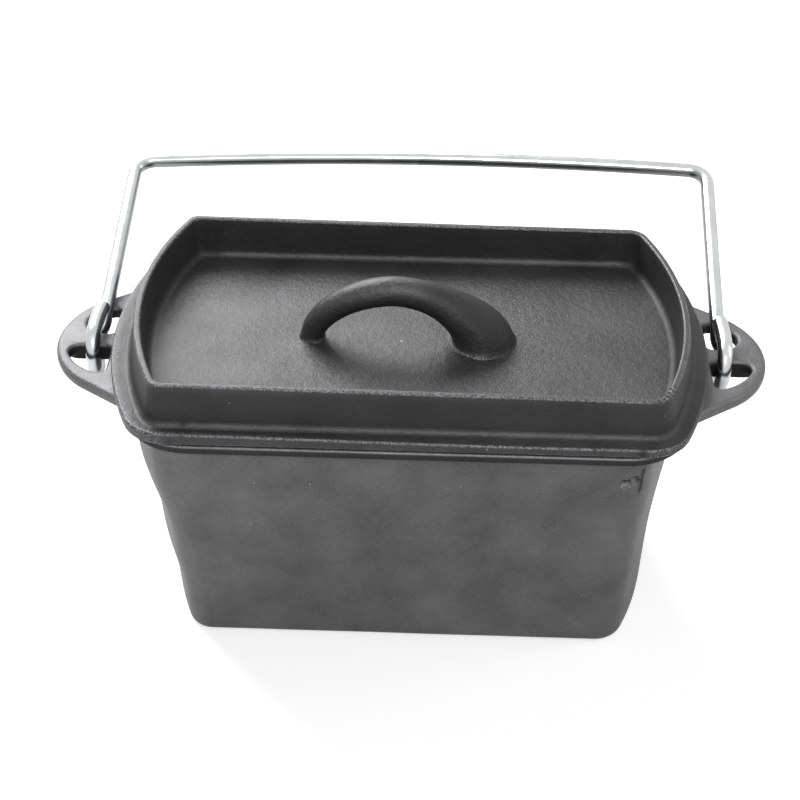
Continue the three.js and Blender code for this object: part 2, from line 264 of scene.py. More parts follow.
# How finely curves are stepped.
bow_steps = 24
corner_steps = 10
side_steps = 36
edge_steps = 5
fillet_steps = 7
wall_steps = 26


def add_camera():
    """A camera that looks along +Y, tipped down, with a slight turn and roll."""
    data = bpy.data.cameras.new("camera")
    data.sensor_width = sensor_mm
    data.lens = focal_px * sensor_mm / photo_px
    data.clip_start = 0.01
    data.clip_end = 20
    look = Vector((
        -math.sin(camera_yaw) * math.cos(camera_down),
        math.cos(camera_yaw) * math.cos(camera_down),
        -math.sin(camera_down),
    ))
    level = Vector((math.cos(camera_yaw), math.sin(camera_yaw), 0.0))
    upright = level.cross(look)
    right = level * math.cos(camera_roll) + upright * math.sin(camera_roll)
    up = upright * math.cos(camera_roll) - level * math.sin(camera_roll)
    camera = bpy.data.objects.new("camera", data)
    camera.matrix_world = Matrix((
        (right.x, up.x, -look.x, camera_at.x),
        (right.y, up.y, -look.y, camera_at.y),
        (right.z, up.z, -look.z, camera_at.z),
        (0, 0, 0, 1),
    ))
    bpy.context.scene.collection.objects.link(camera)
    bpy.context.scene.camera = camera


# Outlines and skins.

def arc(centre_x, centre_y, radius, start, end, steps):
    """Points of an arc, with both of its ends."""
    angles = [start + (end - start) * i / steps for i in range(steps + 1)]
    return [(centre_x + radius * math.cos(a), centre_y + radius * math.sin(a)) for a in angles]


def quarter_barrel(plan, inset=0.0):
    """A barrel shaped plan's back right quarter, drawn in by inset: half an end, a corner, half a side."""
    half_length, half_width, bow, corner, least_corner = plan
    half_length -= inset
    half_width -= inset
    bow -= inset
    corner = max(corner - inset, least_corner)
    bow_x = half_length - bow
    corner_y = half_width - corner
    corner_x = bow_x + math.sqrt((bow - corner) ** 2 - corner_y ** 2)
    turn = math.atan2(corner_y, corner_x - bow_x)
    quarter = arc(bow_x, 0, bow, 0, turn, bow_steps)
    quarter += arc(corner_x, corner_y, corner, turn, quarter_turn, corner_steps)[1:]
    return quarter + [(corner_x * (1 - i / side_steps), half_width) for i in range(1, side_steps + 1)]


def joined_quarters(back_right, back_left, front_left, front_right):
    """A closed outline from four quarters, all drawn as the back right one."""
    back = back_right + [(-x, y) for x, y in reversed(back_left[:-1])]
    front = front_right + [(-x, y) for x, y in reversed(front_left[:-1])]
    return back + [(x, -y) for x, y in reversed(front[1:-1])]


def barrel(plan, inset=0.0):
    """The barrel shaped plan, drawn in all round by inset: bowed ends, rounded corners, straight sides."""
    quarter = quarter_barrel(plan, inset)
    return joined_quarters(quarter, quarter, quarter, quarter)


def at_height(outline, z):
    return [Vector((x, y, z)) for x, y in outline]


def shrunk(ring, share):
    """A ring drawn towards its middle, for a floor that is closed in rings."""
    middle = sum(ring, Vector()) / len(ring)
    return [middle + (point - middle) * share for point in ring]


def closed_floor(ring):
    """Rings that close a floor from its border to its middle."""
    return [shrunk(ring, share) for share in (0.94, 0.86, 0.76, 0.64, 0.5, 0.36, 0.22, 0.1)]


def edge_rings(outline_at, face, radius, up, steps=edge_steps):
    """Rings of a rounded edge at a face that looks up (up = 1) or down (up = -1), in rising order."""
    rings = []
    for i in range(steps + 1):
        angle = quarter_turn * i / steps
        inset = radius * (1 - math.cos(angle))
        drop = abs(radius) * (1 - math.sin(angle))
        rings.append(at_height(outline_at(inset), face - up * drop))
    return rings if up > 0 else rings[::-1]


def fillet_rings(outline_at, z, radius):
    """Rings of a fillet that rises from the height z, where the outline is drawn in by its radius."""
    rings = []
    for i in range(fillet_steps + 1):
        angle = quarter_turn * i / fillet_steps
        height = z + abs(radius) * (1 - math.cos(angle))
        rings.append(at_height(outline_at(radius * (1 - math.sin(angle)), height), height))
    return rings


def skin_rings(shape, rings, cap_first=True, cap_last=True):
    """Faces between rings of equally many points, in the bmesh shape, with flat caps if asked."""
    loops = [[shape.verts.new(point) for point in ring] for ring in rings]
    count = len(rings[0])
    for low, high in zip(loops, loops[1:]):
        for i in range(count):
            j = (i + 1) % count
            shape.faces.new((low[i], low[j], high[j], high[i]))
    if cap_first:
        shape.faces.new(loops[0][::-1])
    if cap_last:
        shape.faces.new(loops[-1])
    return loops


def finished(shape, name, material, body, node, crease=math.radians(42)):
    """Turns a bmesh into a piece with smooth faces and sharp creases, hangs it on its body, and hides the CAD
    node it takes the place of.
    """
    bmesh.ops.recalc_face_normals(shape, faces=shape.faces)
    for face in shape.faces:
        face.smooth = True
    for edge in shape.edges:
        if edge.is_manifold and edge.calc_face_angle() > crease:
            edge.smooth = False
    mesh = bpy.data.meshes.new(name)
    shape.to_mesh(mesh)
    shape.free()
    mesh.materials.append(material)
    piece = bpy.data.objects.new(name, mesh)
    bpy.context.scene.collection.objects.link(piece)
    weighted = piece.modifiers.new("even normals", "WEIGHTED_NORMAL")
    weighted.keep_sharp = True
    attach(piece, body)
    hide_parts(node)
    return piece


def smooth_step(value):
    value = min(max(value, 0.0), 1.0)
    return value * value * (3 - 2 * value)


cast_sway = 0.16 * mm
cast_sway_length = 34 * mm
cast_ripple = 0.07 * mm
cast_ripple_length = 7 * mm


def uneven(point, normal, share=1.0):
    """A point of a casting sunk a little along its normal, as the sand mould leaves it. Never proud."""
    sway = 0.5 + 0.5 * noise.noise(point / cast_sway_length)
    ripple = 0.5 + 0.5 * noise.noise(point / cast_ripple_length + Vector((7, 3, 5)))
    return point - normal * share * (cast_sway * sway + cast_ripple * ripple)


def roughen(shape, keep_flat_below=None):
    """Gives every vertex of a casting its unevenness, but leaves a face that it stands on flat."""
    bmesh.ops.recalc_face_normals(shape, faces=shape.faces)
    shape.normal_update()
    moved = []
    for vertex in shape.verts:
        flat = keep_flat_below is not None and vertex.co.z < keep_flat_below
        moved.append(vertex.co.copy() if flat else uneven(vertex.co, vertex.normal))
    for vertex, place in zip(shape.verts, moved):
        vertex.co = place


def painted_shade(shape, amount_at):
    """Marks where shade is painted into the colour, from 0, none, to 1, black. The finishes read it."""
    shape.normal_update()
    layer = shape.verts.layers.float.get("painted_shade") or shape.verts.layers.float.new("painted_shade")
    for vertex in shape.verts:
        vertex[layer] = min(max(vertex[layer], amount_at(vertex)), 1.0)


def mark_proud(shape):
    """Marks how far each vertex stands proud of its neighbours, where handling rubs a casting bright and
    where a highlight is painted.
    """
    shape.normal_update()
    layer = shape.verts.layers.float.new("proud")
    for vertex in shape.verts:
        ways = [(edge.other_vert(vertex).co - vertex.co).normalized() for edge in vertex.link_edges]
        vertex[layer] = max(-sum(way.dot(vertex.normal) for way in ways) / len(ways), 0.0)


def refine(shape, centre, reach, cuts):
    """Smaller faces round a mark in a casting, so that the mark can be a shape of its own."""
    near = [face for face in shape.faces if (face.calc_center_median() - centre).length < reach]
    edges = list({edge for face in near for edge in face.edges})
    bmesh.ops.subdivide_edges(shape, edges=edges, cuts=cuts, use_grid_fill=True)
    shape.normal_update()


def cast_as_one(shape, voxel, softening):
    """Melts overlapping closed bodies into one, with soft hollows between them, as a sand mould leaves."""
    mesh = bpy.data.meshes.new("pattern")
    shape.to_mesh(mesh)
    shape.free()
    pattern = bpy.data.objects.new("pattern", mesh)
    bpy.context.scene.collection.objects.link(pattern)
    melt = pattern.modifiers.new("melt", "REMESH")
    melt.mode = "VOXEL"
    melt.voxel_size = voxel
    casting = bmesh.new()
    casting.from_object(pattern, bpy.context.evaluated_depsgraph_get())
    bpy.data.objects.remove(pattern)
    bpy.data.meshes.remove(mesh)
    for _ in range(softening):
        bmesh.ops.smooth_vert(
            casting, verts=casting.verts, factor=0.5, use_axis_x=True, use_axis_y=True, use_axis_z=True
        )
    return casting


# The tub.

def tub_plan(z):
    """The tub's plan at a height, narrowing evenly from the rim to the base."""
    drop = (pot_height - z) / pot_height
    return (
        tub_half_length - end_taper * drop,
        tub_half_width - side_taper * drop,
        tub_bow - side_taper * drop,
        tub_corner,
        cavity_fillet,
    )


rim_plan = (tub_half_length + rim_over_end, tub_half_width + rim_over_side, rim_bow, rim_corner, rim_edge)


def flange_outline(inset):
    """The lid's outer edge, a little fuller at its back right."""
    size = (lid_high.x, lid_high.y - flange_from_side)
    plain = quarter_barrel((*size, flange_bow, flange_corner, flange_edge), inset)
    fuller = quarter_barrel((*size, flange_back_right_bow, flange_corner, flange_edge), inset)
    return joined_quarters(fuller, plain, plain, plain)


def wall_ring(inset):
    """The ember wall's top outline, with its own round at each corner."""
    half_width = lid_high.y - wall_from_side
    left = lid_high.x - wall_from_left_end
    right = lid_high.x - wall_from_right_end
    right_quarter = quarter_barrel((right, half_width, wall_bow, wall_right_corner, tray_corner), inset)
    back_left = quarter_barrel((left, half_width, wall_bow, wall_back_left_corner, tray_corner), inset)
    front_left = quarter_barrel((left, half_width, wall_bow, wall_front_left_corner, tray_corner), inset)
    return joined_quarters(right_quarter, back_left, front_left, right_quarter)


def between(low, high, steps):
    """Heights from low up to high, without either."""
    return [low + (high - low) * i / steps for i in range(1, steps)]


def cove_to_rim():
    """Rings of the hollow curve from the tub's wall out to the underside of the rim band."""
    rim_bottom = pot_height - rim_thick
    start = rim_bottom - rim_cove
    inner = at_height(barrel(tub_plan(rim_bottom)), 0)
    outer = at_height(barrel(rim_plan, rim_edge), 0)
    rings = []
    for i in range(1, fillet_steps + 1):
        angle = quarter_turn * i / fillet_steps
        share = 1 - math.cos(angle)
        height = start + rim_cove * math.sin(angle)
        ring = [a.lerp(b, share) for a, b in zip(inner, outer)]
        rings.append([Vector((point.x, point.y, height)) for point in ring])
    return rings


def tub_outside():
    """Rings of the outside of the tub and rim, from the base up to the mouth."""
    outline_at = lambda inset, z: barrel(tub_plan(z), inset)
    rim_bottom = pot_height - rim_thick
    rings = fillet_rings(outline_at, 0.0, base_fillet)
    for z in between(base_fillet, rim_bottom - rim_cove, wall_steps):
        rings.append(at_height(outline_at(0, z), z))
    rings.append(at_height(outline_at(0, rim_bottom - rim_cove), rim_bottom - rim_cove))
    rings += cove_to_rim()
    rings += edge_rings(lambda inset: barrel(rim_plan, inset), rim_bottom, rim_edge, -1)[1:]
    rings += edge_rings(lambda inset: barrel(rim_plan, inset), pot_height, rim_edge, 1)
    return rings


def tub_inside():
    """Rings of the hollow, from the mouth down to the middle of the floor."""
    outline_at = lambda inset, z: barrel(tub_plan(z), tub_wall + inset)
    mouth = lambda inset: barrel(tub_plan(pot_height), tub_wall + inset)
    rings = edge_rings(mouth, pot_height, -rim_edge, 1)[::-1]
    for z in reversed(between(tub_floor + cavity_fillet, pot_height - rim_edge, wall_steps)):
        rings.append(at_height(outline_at(0, z), z))
    rings += fillet_rings(outline_at, tub_floor, cavity_fillet)[::-1]
    return rings + closed_floor(rings[-1])


def shape_ends(shape):
    """This casting's left end flares under the rim and tucks in at its foot. Its right end is hollow."""
    for vertex in shape.verts:
        x, _, z = vertex.co
        height = smooth_step((z - left_flare_from) / left_flare_reach)
        under_rim = 1 - smooth_step((z - (pot_height - rim_thick - rim_cove)) / rim_cove)
        low = 1 - smooth_step((z - left_tuck_from) / left_tuck_reach)
        leftness = smooth_step((-x - end_shaped_from) / end_shaped_fade)
        rightness = smooth_step((x - end_shaped_from) / end_shaped_fade)
        vertex.co.x += (left_tuck * low - left_flare * height * under_rim) * leftness
        up = (z - right_hollow_from) / (right_hollow_to - right_hollow_from)
        vertex.co.x -= right_hollow * rightness * math.sin(half_turn * min(max(up, 0.0), 1.0))


def scoop_flaw(shape):
    """The flaw in the tub's front face, a ragged double scoop, deepest under its upper edge."""
    front_y = -tub_plan(flaw_z)[1]
    refine(shape, Vector((flaw_x, front_y, flaw_z)), flaw_refined, flaw_cuts)
    for vertex in shape.verts:
        if vertex.co.y > front_y + flaw_skin:
            continue
        sunk = 0.0
        for scoop_x, scoop_z, reach, depth in flaw_scoops:
            ragged = reach + flaw_rough * 2 * noise.noise(vertex.co / flaw_ragged_length)
            away = math.hypot(vertex.co.x - scoop_x, vertex.co.z - scoop_z) / ragged
            upward = (vertex.co.z - scoop_z) / ragged
            if away < 1:
                sunk = max(sunk, depth * (0.5 + 0.5 * upward) * (1 - away ** 8))
        if sunk:
            vertex.co.y += sunk + flaw_rough * noise.noise(vertex.co / flaw_grit_length)


def tub_painted_shade(vertex):
    """Painted shade on the rim band's side, under the lid's edge, and in the deeper part of the casting flaw.
    """
    from_top = pot_height - vertex.co.z
    band = smooth_step((from_top - rim_shade_from) / rim_shade_fade)
    band *= smooth_step((rim_thick + rim_shade_below - from_top) / rim_shade_low_fade)

    # A known fault: the tub's corner turns away before the flaw's painted shade ends on the right, so a thin
    # strip of it is painted dark too.
    sunk = vertex.co.y + tub_plan(vertex.co.z)[1]
    across = flaw_shade_left < vertex.co.x < flaw_shade_right
    in_flaw = across and from_top < flaw_shade_below_rim and sunk < flaw_shade_skin
    flaw = flaw_shade_most * smooth_step((sunk - flaw_shade_depth) / flaw_shade_depth) if in_flaw else 0.0
    return max(rim_shade_most * band, flaw)


def make_tub(iron):
    shape = bmesh.new()
    skin_rings(shape, tub_outside() + tub_inside())
    shape_ends(shape)
    roughen(shape, keep_flat_below=0.2 * mm)
    scoop_flaw(shape)
    mark_proud(shape)
    painted_shade(shape, tub_painted_shade)
    return finished(shape, "tub", iron, "pot", "pot")


# The lugs.

lug_bottom = lug_top - lug_thick
opening_centre_x = tub_half_length + opening_centre_out
opening_root_x = lid_high.x + opening_past_flange


def mid_wall_x(y):
    """Where the middle of the tub's end wall lies, so that nothing of a lug shows inside the tub."""
    half_length, _, bow, _, _ = tub_plan(lug_bottom)
    return half_length - bow + math.sqrt((bow - tub_wall / 2) ** 2 - y ** 2)


def lug_outline(inset):
    """The right lug's outline: a round tip with straight flanks that spread to the tub."""
    radius = lug_radius - inset
    root_y = (radius + lug_root_sink * math.cos(lug_flare)) / math.sin(lug_flare)
    tip = arc(tub_half_length, 0, radius, -lug_flare, lug_flare, 48)
    shares = [1 - i / 8 for i in range(17)]
    return tip + [(mid_wall_x(root_y * share), root_y * share) for share in shares]


def opening_outline(inset, tip_corner, border=0.0):
    """The right lug's back opening, between the crossbar, the lug's root and its round border."""
    radius = opening_radius - border
    root_x = opening_root_x + opening_corner
    root_y = crossbar_half + opening_corner
    far_y = math.sqrt((radius - opening_corner) ** 2 - (root_x - opening_centre_x) ** 2)
    tip_y = crossbar_half + tip_corner
    tip_x = opening_centre_x + math.sqrt((radius - tip_corner) ** 2 - tip_y ** 2)
    tip_angle = math.atan2(tip_y, tip_x - opening_centre_x)
    far_angle = math.atan2(far_y, root_x - opening_centre_x)
    points = arc(root_x, root_y, opening_corner - inset, half_turn, 1.5 * half_turn, 8)
    points += arc(tip_x, tip_y, tip_corner - inset, -quarter_turn, tip_angle, 8)
    points += arc(opening_centre_x, 0, radius - inset, tip_angle, far_angle, 16)[1:-1]
    points += arc(root_x, far_y, opening_corner - inset, far_angle, half_turn, 8)
    return points


def plate_with_openings(shape, front_border):
    """The lug's plate, round at its edges and round the rims of its two openings."""
    rings = edge_rings(lug_outline, lug_bottom, lug_edge, -1)
    rings += edge_rings(lug_outline, lug_top, lug_edge, 1)
    sides = [skin_rings(shape, rings, False, False)]
    back = lambda inset: opening_outline(inset, back_tip_corner, back_border)
    front = lambda inset: [(x, -y) for x, y in opening_outline(inset, front_tip_corner, front_border)]
    for opening in (back, front):
        walls = edge_rings(opening, lug_bottom, -opening_edge, -1)
        walls += edge_rings(opening, lug_top, -opening_soft_edge, 1)
        sides.append(skin_rings(shape, walls, False, False))
    for level in (0, -1):
        edges = []
        for loops in sides:
            loop = loops[level]
            edges += [shape.edges.get((a, b)) for a, b in zip(loop, loop[1:] + loop[:1])]
        bmesh.ops.triangle_fill(shape, edges=edges, use_beauty=True, use_dissolve=False)


def crossbar_outline(inset):
    radius = crossbar_half - inset
    tip = arc(opening_centre_x + opening_radius - crossbar_half, 0, radius, -quarter_turn, quarter_turn, 12)
    root_x = mid_wall_x(0)
    return tip + [(root_x, radius), (root_x, -radius)]


def cove_under_lug(shape):
    """The hollow curve between the tub's end wall and a lug's underside, dying away at the flanks."""
    half_length, _, bow, _, _ = tub_plan(lug_bottom - lug_cove / 2)
    rings = []
    for i in range(61):
        y = lug_cove_end * (i / 30 - 1)
        radius = lug_cove * (0.08 + 0.92 * smooth_step((lug_cove_end - abs(y)) / lug_cove_fade))
        profile = [(-lug_cove_sunk, lug_cove_sunk), (radius, lug_cove_sunk)]
        profile += [(radius + a, b - radius) for a, b in arc(0, 0, radius, quarter_turn, half_turn, 6)]
        profile.append((-lug_cove_sunk, -radius))
        way = Vector((math.sqrt(1 - (y / bow) ** 2), y / bow))
        middle = Vector((half_length - bow, 0))
        ring = []
        for out, up in profile:
            ring.append((middle + way * (bow + out)).to_3d() + Vector((0, 0, lug_bottom + up)))
        rings.append(ring)
    skin_rings(shape, rings)


def opening_painted_shade(vertex):
    """Painted shade on the upright walls of a lug's two openings."""
    from_centre = math.hypot(vertex.co.x - opening_centre_x, vertex.co.y)
    if from_centre > opening_radius + opening_soft_edge:
        return 0.0
    upright = smooth_step((0.9 - abs(vertex.normal.z)) / 0.4)
    below_top = lug_top - vertex.co.z
    return opening_shade_most * upright * smooth_step((below_top - opening_shade_from) / opening_shade_fade)


def make_lug(name, side, iron, front_border, bar_deeper):
    """The right lug (side 1) or the left one (side -1), with a deeper bar between its openings."""
    shape = bmesh.new()
    plate_with_openings(shape, front_border)
    bar = edge_rings(crossbar_outline, lug_top - crossbar_thick - bar_deeper, crossbar_edge, -1)
    skin_rings(shape, bar + [at_height(crossbar_outline(0), lug_top - lug_edge)])
    cove_under_lug(shape)
    bmesh.ops.recalc_face_normals(shape, faces=shape.faces)
    casting = cast_as_one(shape, lug_voxel, 4)
    painted_shade(casting, opening_painted_shade)
    for vertex in casting.verts:
        vertex.co.x *= side
        vertex.co.y += hinge.y
    roughen(casting)
    mark_proud(casting)
    return finished(casting, name, iron, "pot", "pot")


# The lid.

def wall_outline(inset, z):
    """The ember wall's outside at a height, with its draft."""
    return wall_ring(inset - wall_outer_draft * (wall_top - z) / wall_height)


def cast_uneven(rings, edge_count):
    """The flange's edge and the ember wall's crest stand higher towards the left end of this casting."""
    for i, ring in enumerate(rings):
        for point in ring:
            if i < edge_count:
                leftness = 1 - smooth_step((point.x + tilt_half_length) / flange_rise_reach)
                point.z += (flange_rise_left + flange_fall_right) * leftness - flange_fall_right
            else:
                share = max(point.z - flange_top, 0.0) / wall_height
                point.z += (crest_rise - crest_tilt * point.x / tilt_half_length) * share


def lid_outside():
    """Rings of the lid from the flange's underside, over the ember wall and down to the tray's middle."""
    draft_at = lambda z: wall_inner_draft * (wall_top - z) / wall_height
    tray_at = lambda inset, z: wall_ring(wall_top_thick + draft_at(z) + inset)
    mouth_at = lambda inset: wall_ring(wall_top_thick + inset)
    rings = edge_rings(flange_outline, flange_top, flange_edge, 1)
    edge_count = len(rings)
    rings += fillet_rings(wall_outline, flange_top, -wall_foot)
    for z in between(flange_top + wall_foot, wall_top - wall_edge, 6):
        rings.append(at_height(wall_outline(0, z), z))
    rings += edge_rings(wall_ring, wall_top, wall_edge, 1)
    rings += edge_rings(mouth_at, wall_top, -wall_edge, 1)[::-1]
    for z in reversed(between(tray_floor + tray_fillet, wall_top - wall_edge, 6)):
        rings.append(at_height(tray_at(0, z), z))
    rings += fillet_rings(tray_at, tray_floor, tray_fillet)[::-1]
    cast_uneven(rings, edge_count)
    return edge_rings(flange_outline, flange_low, flange_low_edge, -1) + rings + closed_floor(rings[-1])


def lid_underside():
    """Rings of the underside from its middle, over the lip, out to the flange's edge."""
    lip_at = lambda inset: barrel(tub_plan(pot_height), tub_wall + lip_clearance + inset)
    bottom = flange_low - lip_depth
    inner = at_height(lip_at(lip_thick + lip_lead), flange_low)
    rings = closed_floor(inner)[::-1]
    rings.append(inner)
    rings.append(at_height(lip_at(lip_thick), bottom))
    rings.append(at_height(lip_at(lip_lead), bottom))
    rings.append(at_height(lip_at(0), bottom + lip_lead))
    rings.append(at_height(lip_at(0), flange_low))
    return rings


def nibble_corner(shape):
    """Small grooves across the ember wall's top at its front right corner."""
    along = nibble_to - nibble_from
    middle = (nibble_from + nibble_to) / 2
    refine(shape, Vector((middle.x, middle.y, wall_top - nibble_drop / 2)), nibble_refined, nibble_cuts)
    for vertex in shape.verts:
        from_top = (wall_top - vertex.co.z) / nibble_drop
        share = (vertex.co.xy - nibble_from).dot(along) / along.length_squared
        if from_top > 1 or not 0 < share < 1 or (vertex.co.xy - middle).length > nibble_reach:
            continue
        groove = max(0.0, math.sin(share * nibble_count * 2 * half_turn)) * (1 - from_top)
        vertex.co -= vertex.normal * nibble_depth * groove


def lid_painted_shade(vertex):
    """Painted shade inside the ember wall's bowed ends, on its outer side, and on the flange's right end."""
    x, _, z = vertex.co
    if z < flange_top + flange_shade_above and x > flange_shade_from:
        return wall_outer_shade * smooth_step((x - flange_shade_from) / flange_shade_fade)
    from_crest = smooth_step((wall_top - z) / wall_shade_fade)
    if vertex.normal.x * x < 0 and abs(x) > wall_end_from:
        return wall_end_shade * from_crest * smooth_step((0.97 - abs(vertex.normal.z)) / 0.3)
    outer = smooth_step((0.8 - abs(vertex.normal.z)) / 0.3)
    outer *= smooth_step((z - flange_top) / wall_foot_shade_fade)
    return wall_outer_shade * from_crest * outer


def make_lid(iron):
    shape = bmesh.new()
    skin_rings(shape, lid_underside() + lid_outside())
    roughen(shape)
    nibble_corner(shape)
    mark_proud(shape)
    painted_shade(shape, lid_painted_shade)
    return finished(shape, "lid_tray", iron, "lid", "lid")


def arch_section(turn, sides):
    """A round section of the handle on a plane fanned through the arch's centre line."""
    reach = arch_right_reach if turn < quarter_turn else arch_left_reach
    across = abs(math.cos(turn))
    up = abs(math.sin(turn))
    across_pull = across ** (arch_fullness - 1) / reach ** arch_fullness
    up_pull = up ** (arch_fullness - 1) / arch_rise ** arch_fullness
    pull = across_pull * across + up_pull * up
    middle = pull ** (-1 / arch_fullness)
    slant = pull / math.hypot(across_pull, up_pull)
    swell = max(1 - turn / quarter_turn, 0) ** arch_swell_power
    slim = arch_thin + (arch_top - arch_thin) * up
    radius = arch_top + (arch_thick - arch_top) * swell if turn < quarter_turn else slim
    ring = []
    for i in range(sides):
        angle = 2 * half_turn * i / sides
        out = middle + radius / slant * math.cos(angle)
        x = arch_centre.x + out * math.cos(turn)
        y = arch_centre.y + radius * math.sin(angle)
        ring.append(Vector((x, y, tray_floor + out * math.sin(turn))))
    return ring


def flare_feet(shape):
    """Spreads the handle's feet into the tray floor, as a cast fillet."""
    for vertex in shape.verts:
        height = vertex.co.z - tray_floor
        if height > arch_foot_fillet:
            continue
        reach = arch_right_reach if vertex.co.x > arch_centre.x else -arch_left_reach
        foot = Vector((arch_centre.x + reach, arch_centre.y))
        outward = (vertex.co.xy - foot).normalized()
        rest = 1 - max(height, 0) / arch_foot_fillet
        spread = arch_foot_fillet * (1 - math.sqrt(1 - rest ** 2))
        vertex.co.xy += outward * spread


def handle_painted_shade(vertex):
    """Painted shade under the arch and down the right side of its thick foot."""
    under = smooth_step((0.15 - vertex.normal.z) / 0.7)
    thick_side = smooth_step((vertex.normal.x + 0.05) / 0.3)
    thick_side *= smooth_step((vertex.co.x - arch_centre.x - arch_shade_from) / arch_shade_fade)
    return arch_shade_most * max(under, 0.8 * thick_side)


def make_lid_handle(iron):
    shape = bmesh.new()
    sides = 44
    steps = 90
    rings = [arch_section(half_turn * k / steps, sides) for k in range(steps + 1)]
    sunk = Vector((0, 0, 1 * mm))
    skin_rings(shape, [[p - sunk for p in rings[0]]] + rings + [[p - sunk for p in rings[-1]]])
    flare_feet(shape)
    roughen(shape)
    mark_proud(shape)
    painted_shade(shape, handle_painted_shade)
    return finished(shape, "lid_handle", iron, "lid", "lid")


# The bail.

def arc_in_space(centre, zero, quarter, radius, start, end, drift=Vector()):
    """Points of an arc, with an even drift to one side on the way."""
    steps = max(int(radius * abs(end - start) / (1.2 * mm)), 6)
    points = []
    for i in range(steps + 1):
        angle = start + (end - start) * i / steps
        ahead = zero * radius * math.cos(angle)
        aside = quarter * radius * math.sin(angle)
        points.append(centre + ahead + aside + drift * i / steps)
    return points


def right_half_of_bail():
    """The wire's middle line, from the middle of the grip to the cut end of the right hook, along +Y."""
    leg_x = opening_root_x + leg_from_opening
    outward = Vector((1, 0, 0))
    along = Vector((0, 1, 0))
    rise = Vector((0, 0, 1))
    crown_radius = (leg_x ** 2 + bail_crown ** 2) / (2 * bail_crown)
    crown_y = bail_reach + bail_crown - crown_radius
    bend_x = leg_x - bail_bend
    bend_y = crown_y + math.sqrt((crown_radius - bail_bend) ** 2 - bend_x ** 2)
    bend_turn = math.atan2(bend_x, bend_y - crown_y)
    points = arc_in_space(Vector((0, crown_y, leg_lift)), along, outward, crown_radius, 0, bend_turn)
    bend_centre = Vector((bend_x, bend_y, leg_lift))
    points += arc_in_space(bend_centre, along, outward, bail_bend, bend_turn, quarter_turn)[1:]
    corner = math.hypot(crossbar_half - opening_edge, crossbar_thick / 2 - opening_edge)
    hook_radius = corner + opening_edge + hook_clearance + wire_radius
    neck_drop = hook_neck_bend - leg_lift
    neck_y = math.sqrt((hook_radius + hook_neck_bend) ** 2 - neck_drop ** 2)
    neck_turn = math.atan2(neck_y, neck_drop)
    hook_end_rise = leg_lift + 2 * wire_radius + hook_end_gap
    end_turn = math.atan2(hook_end_rise, hook_end_length)
    end_turn += math.acos(hook_radius / math.hypot(hook_end_length, hook_end_rise))
    leg_steps = 60
    for i in range(1, leg_steps):
        points.append(Vector((leg_x, bend_y + (neck_y - bend_y) * i / leg_steps, leg_lift)))
    points += arc_in_space(Vector((leg_x, neck_y, -neck_drop)), rise, -along, hook_neck_bend, 0, neck_turn)
    loop_start = -math.atan2(neck_drop, neck_y)
    loop_end = end_turn - 2 * half_turn
    drift = outward * hook_shift
    loop = arc_in_space(Vector((leg_x, 0, 0)), along, rise, hook_radius, loop_start, loop_end, drift)
    points += loop[1:]
    cut_end = Vector((leg_x + hook_end_shift, hook_end_length, hook_end_rise))
    before_bend = loop[-1].lerp(cut_end, hook_straight)
    before_bend.x = loop[-1].x
    for i in range(1, 17):
        t = i / 16
        points.append(loop[-1] * (1 - t) ** 2 + before_bend * 2 * t * (1 - t) + cut_end * t ** 2)
    return points, leg_x


def bail_rest_turn(leg_x):
    """The angle at which the legs lie back on the border beyond the lugs' back openings."""
    edge_y = math.sqrt(opening_radius ** 2 - (leg_x - opening_centre_x) ** 2) + opening_edge
    edge_z = crossbar_thick / 2 - opening_edge
    stand = wire_radius + opening_edge + rest_gap - leg_lift
    return math.asin(stand / math.hypot(edge_y, edge_z)) + math.atan2(edge_z, edge_y)


def wire_rings(line, sides):
    """Round sections along a line, turned as little as possible from one to the next."""
    rings = []
    side_way = Vector((0, 0, 1))
    for i, point in enumerate(line):
        ahead = line[min(i + 1, len(line) - 1)] - line[max(i - 1, 0)]
        ahead.normalize()
        side_way = (side_way - ahead * side_way.dot(ahead)).normalized()
        other = ahead.cross(side_way)
        turns = [2 * half_turn * k / sides for k in range(sides)]
        rings.append([point + (side_way * math.cos(t) + other * math.sin(t)) * wire_radius for t in turns])
    return rings


def chamfered(rings, line):
    """The cut ends of the wire, with their sharp edge filed off."""
    for end, inner in ((0, 1), (-1, -2)):
        back = (line[inner] - line[end]).normalized()
        pulled = [point + back * wire_chamfer for point in rings[end]]
        face = [line[end] + (point - line[end]) * (1 - wire_chamfer / wire_radius) for point in rings[end]]
        rings = [face, pulled] + rings[1:] if end == 0 else rings[:-1] + [pulled, face]
    return rings


def wire_painted_shade(vertex):
    """Painted shade and a painted dark reflection of the pot on the wire's side that faces the pot, and
    painted shade on its loops under the lugs.
    """
    towards_pot = (Vector((0, 0, pot_height / 2)) - vertex.co).normalized()
    inboard = smooth_step((vertex.normal.dot(towards_pot) - 0.12) / 0.4)
    under_lug = smooth_step((hinge.z - loop_shade_from - vertex.co.z) / loop_shade_fade)
    leg_most = right_wire_shade if vertex.co.x > 0 else left_wire_shade
    return max(leg_most * inboard, loop_shade_most * under_lug)


